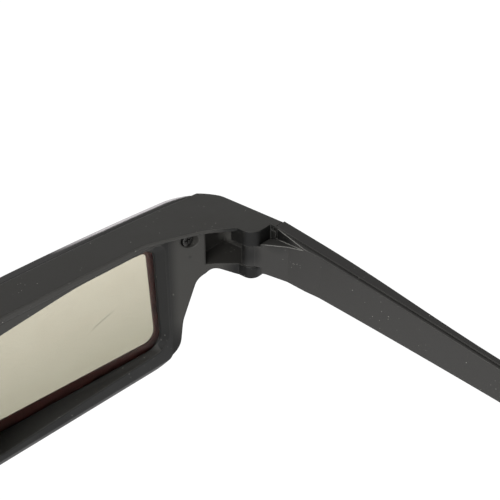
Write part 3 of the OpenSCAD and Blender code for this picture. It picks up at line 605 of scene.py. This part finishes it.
@dataclass(frozen=True)
class PolariserFilm(Finish):
    """Stretched polarising film, laminated to the glass and coated against glare.

    It gives the eye a warm grey, with painted shade that deepens it towards the lens's foot, faint wipe
    marks and, where a depth is given for it, one long hairline scratch.
    """

    head: str = "#E8E6DD"
    foot: str = "#D2D1C7"
    head_z_mm: float = 35.0
    foot_z_mm: float = 8.0
    scratch_from: tuple[float, float] = (-44.5, 20.6)
    scratch_to: tuple[float, float] = (-51.9, 23.6)
    scratch_w_mm: float = 0.24
    scratch_depth: float = 0.0
    scratch: str = "#6F6D64"
    roughness: float = 0.0
    wipe_mm: float = 11.0
    wipe_from: float = 0.4
    wipe_full: float = 0.75
    wipe_rough: float = 0.01
    ior: float = 1.15

    def shade(self, tree: NodeTree, place: NodeSocket) -> Node:
        """Build the tinted film.

        Args:
            tree: The material's node tree.
            place: Position on the part in metres.

        Returns:
            The Principled BSDF node.
        """
        # Painted shade: the tint darkens from the head of the lens to its foot.
        height = add_node(tree, "SeparateXYZ", {"Vector": place}).outputs["Z"]
        sink = add_node(tree, "MapRange", {"Value": height, "From Min": self.head_z_mm * MM,
                                           "From Max": self.foot_z_mm * MM})
        tone = add_node(tree, "Mix", {"Factor": sink.outputs["Result"], "A": linear(self.head),
                                      "B": linear(self.foot)}, data_type="RGBA")
        line = self.hairline(tree, place)
        marked = add_node(tree, "Mix", {"Factor": line, "A": tone.outputs["Result"],
                                        "B": linear(self.scratch)}, data_type="RGBA")
        wipe = add_node(tree, "TexNoise", {"Vector": place, "Scale": every(self.wipe_mm), "Detail": 3.0,
                                           "Distortion": 0.8})
        gloss = add_node(tree, "MapRange", {"Value": wipe.outputs["Fac"], "From Min": self.wipe_from,
                                            "From Max": self.wipe_full, "To Min": self.roughness,
                                            "To Max": self.roughness + self.wipe_rough})
        flat = add_node(tree, "NewGeometry").outputs["True Normal"]
        return add_node(tree, "BsdfPrincipled", {"Base Color": marked.outputs["Result"],
                                                 "Roughness": gloss.outputs["Result"], "IOR": self.ior,
                                                 "Normal": flat, "Transmission Weight": 1.0})

    def hairline(self, tree: NodeTree, place: NodeSocket) -> NodeSocket:
        """Draw the scratch as a thin straight line on the film, coarser than the real one so that it shows.

        Args:
            tree: The material's node tree.
            place: Position on the part in metres.

        Returns:
            The scratch's depth on the line and 0 elsewhere.
        """
        (x0, z0), (x1, z1) = self.scratch_from, self.scratch_to
        length, lean = math.hypot(x1 - x0, z1 - z0), math.atan2(z1 - z0, x1 - x0)
        middle = (-(x0 + x1) / 2 * MM, 0.0, -(z0 + z1) / 2 * MM)
        moved = add_node(tree, "VectorMath", {0: place, 1: middle}, operation="ADD")
        turned = add_node(tree, "VectorRotate", {"Vector": moved.outputs["Vector"], "Angle": lean},
                          rotation_type="Y_AXIS")
        axes = add_node(tree, "SeparateXYZ", {"Vector": turned.outputs["Vector"]})
        along = add_node(tree, "Math", {0: axes.outputs["X"]}, operation="ABSOLUTE")
        across = add_node(tree, "Math", {0: axes.outputs["Z"]}, operation="ABSOLUTE")
        inside = add_node(tree, "MapRange", {"Value": along.outputs["Value"], "From Min": length / 2 * MM,
                                             "From Max": length / 4 * MM, "To Max": self.scratch_depth})
        thin = add_node(tree, "MapRange", {"Value": across.outputs["Value"],
                                           "From Min": self.scratch_w_mm * MM, "From Max": 0.0})
        line = add_node(tree, "Math", {0: inside.outputs["Result"], 1: thin.outputs["Result"]},
                        operation="MULTIPLY")
        return line.outputs["Value"]


@dataclass(frozen=True)
class ClearSheet(Finish):
    """Float glass or clear moulded plastic: see-through, with the faintest change of tint."""

    tint: str = "#FCFBF9"
    edge: str = "#F9F7F4"
    roughness: float = 0.0
    ior: float = 1.02
    wave_mm: float = 7.0

    def shade(self, tree: NodeTree, place: NodeSocket) -> Node:
        """Build the clear sheet.

        Args:
            tree: The material's node tree.
            place: Position on the part in metres.

        Returns:
            The Principled BSDF node.
        """
        waves = add_node(tree, "TexNoise", {"Vector": place, "Scale": every(self.wave_mm), "Detail": 2.0})
        tone = add_node(tree, "Mix", {"Factor": waves.outputs["Fac"], "A": linear(self.tint),
                                      "B": linear(self.edge)}, data_type="RGBA")
        flat = add_node(tree, "NewGeometry").outputs["True Normal"]
        return add_node(tree, "BsdfPrincipled", {"Base Color": tone.outputs["Result"],
                                                 "Roughness": self.roughness, "IOR": self.ior,
                                                 "Normal": flat, "Transmission Weight": 1.0})


@dataclass(frozen=True)
class CastResin(Finish):
    """Resin, foam or filled plastic: opaque, with a slow change of tone and a soft shine."""

    colour: str = "#683F43"
    cloud: str = "#573538"
    roughness: float = 0.35
    ior: float = 1.54
    cloud_mm: float = 3.0
    grain_mm: float = 0.2
    grain_depth_mm: float = 0.02
    grain_strength: float = 0.3

    def shade(self, tree: NodeTree, place: NodeSocket) -> Node:
        """Build the resin.

        Args:
            tree: The material's node tree.
            place: Position on the part in metres.

        Returns:
            The Principled BSDF node.
        """
        clouds = add_node(tree, "TexNoise", {"Vector": place, "Scale": every(self.cloud_mm), "Detail": 4.0})
        grain = add_node(tree, "TexNoise", {"Vector": place, "Scale": every(self.grain_mm), "Detail": 2.0})
        tone = add_node(tree, "Mix", {"Factor": clouds.outputs["Fac"], "A": linear(self.cloud),
                                      "B": linear(self.colour)}, data_type="RGBA")
        bump = add_node(tree, "Bump", {"Height": grain.outputs["Fac"], "Strength": self.grain_strength,
                                       "Distance": self.grain_depth_mm * MM})
        return add_node(tree, "BsdfPrincipled", {"Base Color": tone.outputs["Result"],
                                                 "Roughness": self.roughness, "IOR": self.ior,
                                                 "Normal": bump.outputs["Normal"]})


@dataclass(frozen=True)
class OpalAcrylic(Finish):
    """Opal acrylic lit from behind: an even white glow with no shadows, as on a light table."""

    colour: str = "#FFFFFF"
    cloud: str = "#FEFEFE"
    glow: float = 1.06
    drift_mm: float = 400.0

    def shade(self, tree: NodeTree, place: NodeSocket) -> Node:
        """Build the glowing sheet.

        Args:
            tree: The material's node tree.
            place: Position on the part in metres.

        Returns:
            The Emission node.
        """
        drift = add_node(tree, "TexNoise", {"Vector": place, "Scale": every(self.drift_mm), "Detail": 1.0})
        tone = add_node(tree, "Mix", {"Factor": drift.outputs["Fac"], "A": linear(self.cloud),
                                      "B": linear(self.colour)}, data_type="RGBA")
        return add_node(tree, "Emission", {"Color": tone.outputs["Result"], "Strength": self.glow})


# A moulding mark on the end piece, and the scuffs in which dust has gathered.
RIM_MARKS = (Mark((-71.8, -64.02, 32.06), 0.55, 0.35),)
RIM_SCUFFS = (Mark((-72.6, -63.4, 26.5), 2.2, 1.0), Mark((-65.5, -67.9, 10.6), 1.6, 1.0),
              Mark((-38.0, -68.7, 3.8), 3.0, 0.6))
ARM_SCUFFS = (Mark((-84.9, -42.4, 32.8), 3.6, 1.0), Mark((-82.6, -50.0, 34.2), 2.4, 0.8),
              Mark((-85.5, -36.3, 27.4), 3.0, 1.0), Mark((-85.5, -15.5, 29.5), 5.5, 1.0),
              Mark((-84.9, 12.5, 23.8), 4.0, 1.0))
# Painted highlight: the edges of the ledge behind the upper ear are drawn as pale glints.
LEDGE_PAINTED_GLINTS = tuple(Mark((side * 85.2, -44.0, 37.2), 6.5, 1.0) for side in (-1, 1))
# Painted shade: the walls of the hinge's ears are drawn near-black.
HINGE_PAINTED_SHADE = tuple(Mark((side * x, y, z), r, 1.0, True) for side in (-1, 1)
                    for x, y, z, r in ((82.5, -53.8, 38.0, 10.0), (82.5, -53.8, 26.5, 7.5)))
# Painted shade too on the temple's knuckle and on the wall of the scoop behind it.
SCOOP_PAINTED_SHADE = tuple(Mark((side * x, y, z), r, 0.9, True) for side in (-1, 1)
                    for x, y, z, r in ((82.5, -54.5, 33.0, 5.0), (88.0, -47.5, 39.0, 6.5)))
# Painted light: the wing's inner wall, in the shade of the hinge pocket, is drawn paler here.
WING_PAINTED_LIGHT = tuple(Mark((side * 86.4, -64.6, 31.8), 2.9, 0.35) for side in (-1, 1))

FRAME_ABS = HousingAbs("moulded_abs_spark_grain", marks=RIM_MARKS + HINGE_PAINTED_SHADE, painted_light_spots=WING_PAINTED_LIGHT,
                       scuffs=RIM_SCUFFS)
ARM_ABS = MouldedAbs("moulded_abs_temple_grain", colour="#353432", cloud="#302F2E", wear_and_highlight_mm=0.3,
                     marks=SCOOP_PAINTED_SHADE, scuffs=ARM_SCUFFS, painted_glints=LEDGE_PAINTED_GLINTS)
SHELL_ABS = MouldedAbs("moulded_abs_temple_shell", colour="#302F2D", cloud="#2B2A29", wear_and_highlight=0.2)
BUTTON_ABS = MouldedAbs("moulded_abs_button", colour="#403F3C", grain_mm=0.25, edge_mm=0.3)
COVER_ABS = PolishedAbs("moulded_abs_polished_front")
PAD_TPE = MouldedElastomer("moulded_tpe_pad")
SCREW_STEEL = PlatedMetal("turned_steel_black_zinc")
SOCKET_STEEL = PlatedMetal("pressed_steel_nickel", colour="#C4C1B8", tarnish="#9C998F", line_mm=0.2)
CELL_FOIL = PlatedMetal("pressed_aluminium_foil", colour="#C9CACB", tarnish="#A8A9AB", line_mm=0.5)
FRONT_FILM = PolariserFilm("stretched_polariser_film")
REAR_FILM = PolariserFilm("stretched_polariser_film_worn", scratch_depth=0.42)
# The glue between the layers takes the glare off the glass, so its IOR is the small step to the glue.
GLASS = ClearSheet("float_glass_laminated")
PIPE_PMMA = ClearSheet("moulded_pmma_clear", tint="#F4F4F0", edge="#E8E9E2", roughness=0.12, ior=1.49)
SEAL_EPOXY = CastResin("cured_epoxy_edge_seal")
GASKET_FOAM = CastResin("cut_pu_foam", colour="#1D1D1C", cloud="#151514", roughness=0.9, grain_mm=0.35)
CABLE_FILM = CastResin("etched_polyimide_cable", colour="#A8702A", cloud="#8F5C20", roughness=0.3)
BOARD = CastResin("solder_mask_board", colour="#1F5A36", cloud="#184A2C")
CHIP = CastResin("moulded_epoxy_chip", colour="#232325", cloud="#1B1B1C", roughness=0.6)
SWITCH_NYLON = CastResin("moulded_nylon_switch", colour="#D8D4C6", cloud="#C9C4B4", roughness=0.55)
WINDOW_TINT = PolishedAbs("polished_infrared_window", colour="#1A0F12", smear="#211317", edge_mm=0.4)


def sweep(name: str, rings: list[list[Point]], finish: Finish, smooth: bool) -> Object:
    """Join rings of points into one closed piece whose faces look outward, and put it in the scene.

    Args:
        name: The piece's name.
        rings: Rings of points in mm, in order, each with as many points.
        finish: The piece's finish.
        smooth: Whether its faces are shaded as one curve.

    Returns:
        The new object.
    """
    form = bmesh.new()
    loops = [[form.verts.new([c * MM for c in point]) for point in ring] for ring in rings]
    for one, two in zip(loops, loops[1:]):
        for k in range(len(one)):
            form.faces.new((one[k - 1], one[k], two[k], two[k - 1]))
    form.faces.new(loops[0])
    form.faces.new(loops[-1])
    bmesh.ops.recalc_face_normals(form, faces=form.faces)
    for side in form.faces:
        side.smooth = smooth
    mesh = bpy.data.meshes.new(name)
    form.to_mesh(mesh)
    form.free()
    mesh.materials.append(finish.material())
    piece = bpy.data.objects.new(name, mesh)
    bpy.context.collection.objects.link(piece)
    return piece


@dataclass
class SubAssembly:
    """A group of pieces that belongs together on the real glasses."""

    finishes: dict[str, Finish] = field(default_factory=dict)

    def build(self) -> list[str]:
        """Make the group's own meshes; a group that is all CAD solids makes none."""
        return []

    def dress(self) -> list[str]:
        """Give every CAD node of the group its finish.

        Returns:
            The names of the nodes dressed.
        """
        for name, finish in self.finishes.items():
            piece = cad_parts[name]
            piece.data.materials.clear()
            piece.data.materials.append(finish.material())
        return list(self.finishes)


@dataclass
class BrowFrame(SubAssembly):
    """The housing, its front cover, the four screws and the band that closes the brow."""

    finishes: dict[str, Finish] = field(default_factory=lambda: {
        "rear_housing": FRAME_ABS, "front_cover": COVER_ABS, "frame_screws": SCREW_STEEL})
    band_half: float = 66.0
    band_z: tuple[float, float] = (38.3, 39.85)
    band_proud: float = 0.015
    band_t: float = 0.6
    band_soft: float = 0.12
    band_steps: int = 64

    def build(self) -> list[str]:
        """Close the step under the roof's rear edge with a band that is flush with the rim.

        Returns:
            The name of the band.
        """
        low, high = self.band_z
        profile = ((0.0, low), (0.0, high - self.band_soft), (-self.band_soft, high), (-self.band_t, high),
                   (-self.band_t, low))
        rings: list[list[Point]] = []
        for i in range(self.band_steps + 1):
            x = self.band_half * (2 * i / self.band_steps - 1)
            rear = REAR_Y + REAR_SLOPE * abs(x) + self.band_proud
            rings.append([(x, rear + y, z) for y, z in profile])
        band = sweep("brow_band", rings, FRAME_ABS, smooth=False)
        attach(band, FRAME_BODY)
        return ["brow_band"]


@dataclass
class NosePad(SubAssembly):
    """The soft saddle that clips into the nose gap, with a flange and fine grip ribs."""

    arch_z: float = 26.5
    arch_half: float = 6.0
    arch_r: float = 5.0
    arch_steps: int = 10
    foot_half: float = 10.0
    foot_z: float = -1.0
    low_z: float = 5.0
    leg_steps: int = 4
    front_y: float = -78.0
    back_y: float = -66.0
    skin: tuple[float, float] = (0.08, 1.18)
    flange_y: tuple[float, float] = (-70.08, -68.74)
    flange_out: float = 1.45
    flange_soft: tuple[float, float] = (0.4, 0.3)
    soft: float = 0.35
    soft_deg: tuple[int, ...] = (0, 30, 60, 90)
    rib_pitch: float = 1.1
    rib_depth: float = 0.16
    rib_steps: int = 4
    rib_margin: float = 0.4

    def build(self) -> list[str]:
        """Sweep the pad's section round the nose gap.

        Returns:
            The name of the saddle.
        """
        section = self.section()
        rails = [self.rail(g) for g, _ in section]
        rings = [[(rail[i][0], y, rail[i][1]) for rail, (_, y) in zip(rails, section)]
                 for i in range(len(rails[0]))]
        saddle = sweep("nose_saddle", rings, PAD_TPE, smooth=True)
        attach(saddle, FRAME_BODY)
        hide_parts("nose_pad")
        return ["nose_saddle"]

    def section(self) -> list[tuple[float, float]]:
        """List the closed section as (depth into the gap, y) points, with rounded ends and ribs inside.

        Returns:
            The section's points in order.
        """
        outer, inner = self.skin
        r = self.soft
        bend = [math.radians(a) for a in self.soft_deg]
        front = [(outer + r - r * math.sin(a), self.front_y + r - r * math.cos(a)) for a in bend]
        low, high = self.flange_y
        rim = -self.flange_out
        slant, rise = self.flange_soft
        flange = [(outer, low), (rim + slant, low), (rim, low + rise),
                  (rim, high - rise), (rim + slant, high), (outer, high)]
        back = [(outer + r - r * math.cos(a), self.back_y - r + r * math.sin(a)) for a in bend]
        back += [(inner - r + r * math.sin(a), self.back_y - r + r * math.cos(a)) for a in bend]
        ribs: list[tuple[float, float]] = []
        span = self.back_y - self.front_y - 2 * (r + self.rib_margin)
        steps = self.rib_steps * round(span / self.rib_pitch)
        for i in range(steps + 1):
            y = self.back_y - r - self.rib_margin - span * i / steps
            ribs.append((inner - self.rib_depth * (0.5 - 0.5 * math.cos(math.tau * i / self.rib_steps)), y))
        end = [(inner - r + r * math.cos(a), self.front_y + r - r * math.sin(a)) for a in bend]
        return front + flange + back + ribs + end

    def rail(self, g: float) -> list[tuple[float, float]]:
        """Follow the nose gap from the right foot over the arch to the left foot.

        Args:
            g: Distance into the gap from its wall.

        Returns:
            Points as (x, z).
        """
        top, corner, foot = self.arch_z - g, self.arch_half - g, self.foot_half - g
        radius = self.arch_r - g
        down = Vector((foot - corner, self.foot_z - top)).normalized()
        turn = math.acos(max(-1.0, min(1.0, -down.x)))
        cut = radius / math.tan(turn / 2)
        centre = Vector((corner - cut, top - radius))
        first, last = math.pi / 2, math.atan2(down.x, -down.y)
        half = [(0.0, top), (0.5 * centre.x, top)]
        angles = [first + (last - first) * i / self.arch_steps for i in range(self.arch_steps + 1)]
        half += [(centre.x + radius * math.cos(a), centre.y + radius * math.sin(a)) for a in angles]
        x0, z0 = half[-1]
        low_x = (foot - x0) * (z0 - self.low_z) / (z0 - self.foot_z)
        shares = [i / self.leg_steps for i in range(1, self.leg_steps + 1)]
        half += [(x0 + low_x * t, z0 + (self.low_z - z0) * t) for t in shares]
        return [(-x, z) for x, z in reversed(half)] + half[1:]


@dataclass
class LensCell(SubAssembly):
    """One liquid-crystal lens with its films, plates, seal, gasket and tail."""

    side: Side = Side.RIGHT
    glue_mm: float = 0.02

    def build(self) -> list[str]:
        """Draw the glass plates in by the thickness of the glue, so that no two faces of the stack meet.

        Returns:
            The names of the plates drawn in.
        """
        plates = [self.side.value + "_rear_glass", self.side.value + "_front_glass"]
        for name in plates:
            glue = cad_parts[name].modifiers.new("glue_line", "DISPLACE")
            glue.mid_level = 0.0
            glue.strength = -self.glue_mm * MM
        return plates

    def dress(self) -> list[str]:
        """Give the layers of this side's lens their finishes.

        Returns:
            The names of the nodes dressed.
        """
        layers = {"rear_film": REAR_FILM, "rear_glass": GLASS, "edge_seal": SEAL_EPOXY, "front_glass": GLASS,
                  "front_film": FRONT_FILM, "lens_gasket": GASKET_FOAM, "lens_tail": CABLE_FILM}
        self.finishes = {self.side.value + "_" + name: finish for name, finish in layers.items()}
        return super().dress()


@dataclass
class Electronics(SubAssembly):
    """The board, its chips, the cell, the ribbon along the brow and the charging socket."""

    finishes: dict[str, Finish] = field(default_factory=lambda: {
        "main_board": BOARD, "board_chips": CHIP, "battery_cell": CELL_FOIL, "brow_ribbon": CABLE_FILM,
        "charge_socket": SOCKET_STEEL, "socket_tongue": CHIP})


@dataclass
class PowerSwitch(SubAssembly):
    """The button, the switch under it and the status light with its pipe."""

    finishes: dict[str, Finish] = field(default_factory=lambda: {
        "power_button": BUTTON_ABS, "tactile_switch": SOCKET_STEEL, "switch_plunger": SWITCH_NYLON,
        "status_led": SWITCH_NYLON, "light_pipe": PIPE_PMMA})


@dataclass
class SensorBlock(SubAssembly):
    """The sync sensor behind its dark window at the bridge."""

    finishes: dict[str, Finish] = field(default_factory=lambda: {
        "sensor_board": BOARD, "sync_sensor": CHIP, "sensor_window": WINDOW_TINT})


@dataclass
class Temple(SubAssembly):
    """One folding temple with its hinge pin."""

    side: Side = Side.RIGHT

    def dress(self) -> list[str]:
        """Give this side's temple its finishes.

        Returns:
            The names of the nodes dressed.
        """
        pieces = {"temple_arm": ARM_ABS, "temple_cover": SHELL_ABS, "hinge_pin": SCREW_STEEL}
        self.finishes = {self.side.value + "_" + name: finish for name, finish in pieces.items()}
        return super().dress()


@dataclass
class Studio:
    """A light table, soft light and the camera of the photograph."""

    eye: Point = (89.04, 91.464, 175.43)
    turn_deg: float = 130.218
    rise_deg: float = 32.328
    roll_deg: float = 0.168
    focal_px: float = 1070.1
    image_px: float = 500.0
    sensor: float = 36.0
    near: float = 5.0
    table: float = 6000.0
    table_drop: float = 0.05
    room: float = 0.44
    wall: float = 1.06
    wall_to: float = 0.12
    ceiling_from: float = 0.32
    key_place: Point = (700.0, 250.0, 500.0)
    key_size: float = 600.0
    key_watts: float = 7.0

    def build(self) -> list[str]:
        """Set up the light table, the light and the camera.

        Returns:
            The names of what was made.
        """
        self.floor()
        self.sky()
        self.key()
        self.camera()
        bpy.context.scene.view_settings.view_transform = "Standard"
        return ["floor", "sky", "key", "camera"]

    def floor(self) -> None:
        """Lay a light table just under the part."""
        half = self.table * MM / 2
        mesh = bpy.data.meshes.new("floor")
        mesh.from_pydata([(-half, -half, 0), (half, -half, 0), (half, half, 0), (-half, half, 0)], [],
                         [(0, 1, 2, 3)])
        floor = bpy.data.objects.new("floor", mesh)
        bpy.context.collection.objects.link(floor)
        floor.location.z = -self.table_drop * MM
        mesh.materials.append(OpalAcrylic("opal_acrylic_light_table").material())

    def sky(self) -> None:
        """Light the room from all around, with white walls and a dimmer ceiling."""
        world = bpy.data.worlds.new("soft_room")
        bpy.context.scene.world = world
        world.use_nodes = True
        tree = world.node_tree
        tree.nodes.clear()
        ahead = add_node(tree, "TexCoord").outputs["Generated"]
        height = add_node(tree, "SeparateXYZ", {"Vector": ahead}).outputs["Z"]
        fall = add_node(tree, "MapRange", {"Value": height, "From Min": self.wall_to,
                                           "From Max": self.ceiling_from, "To Min": self.wall,
                                           "To Max": self.room})
        glow = add_node(tree, "Background", {"Color": linear("#FFFFFF"), "Strength": fall.outputs["Result"]})
        add_node(tree, "OutputWorld", {"Surface": glow.outputs["Background"]})

    def key(self) -> None:
        """Hang one square soft box, aimed at the part."""
        light = bpy.data.lights.new("key", "AREA")
        light.size = self.key_size * MM
        light.energy = self.key_watts
        lamp = bpy.data.objects.new("key", light)
        lamp.location = Vector(self.key_place) * MM
        lamp.rotation_euler = lamp.location.to_track_quat("Z", "Y").to_euler()
        bpy.context.collection.objects.link(lamp)

    def camera(self) -> None:
        """Place the camera where the photograph was taken."""
        turn, rise, roll = (math.radians(a) for a in (self.turn_deg, self.rise_deg, self.roll_deg))
        back = Vector((math.sin(turn) * math.cos(rise), -math.cos(turn) * math.cos(rise), math.sin(rise)))
        level = Vector((0, 0, 1)).cross(back).normalized()
        upright = back.cross(level)
        right = level * math.cos(roll) + upright * math.sin(roll)
        up = upright * math.cos(roll) - level * math.sin(roll)
        lens = bpy.data.cameras.new("camera")
        lens.sensor_width = self.sensor
        lens.lens = self.sensor * self.focal_px / self.image_px
        lens.clip_start = self.near * MM
        eye = bpy.data.objects.new("camera", lens)
        turned = Matrix((right, up, back)).transposed().to_4x4()
        eye.matrix_world = Matrix.Translation(Vector(self.eye) * MM) @ turned
        bpy.context.collection.objects.link(eye)
        bpy.context.scene.camera = eye


def main() -> None:
    """Build and dress the glasses, group by group, and set up the studio."""
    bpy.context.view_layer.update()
    groups = [BrowFrame(), NosePad(), LensCell(side=Side.RIGHT), LensCell(side=Side.LEFT), Electronics(),
              PowerSwitch(), SensorBlock(), Temple(side=Side.RIGHT), Temple(side=Side.LEFT)]
    for group in groups:
        for name in group.build():
            LOG.info("built %s", name)
        for name in group.dress():
            LOG.info("dressed %s", name)
    for name in Studio().build():
        LOG.info("set up %s", name)


if __name__ == "__main__":
    logging.basicConfig(level=logging.INFO)
    main()
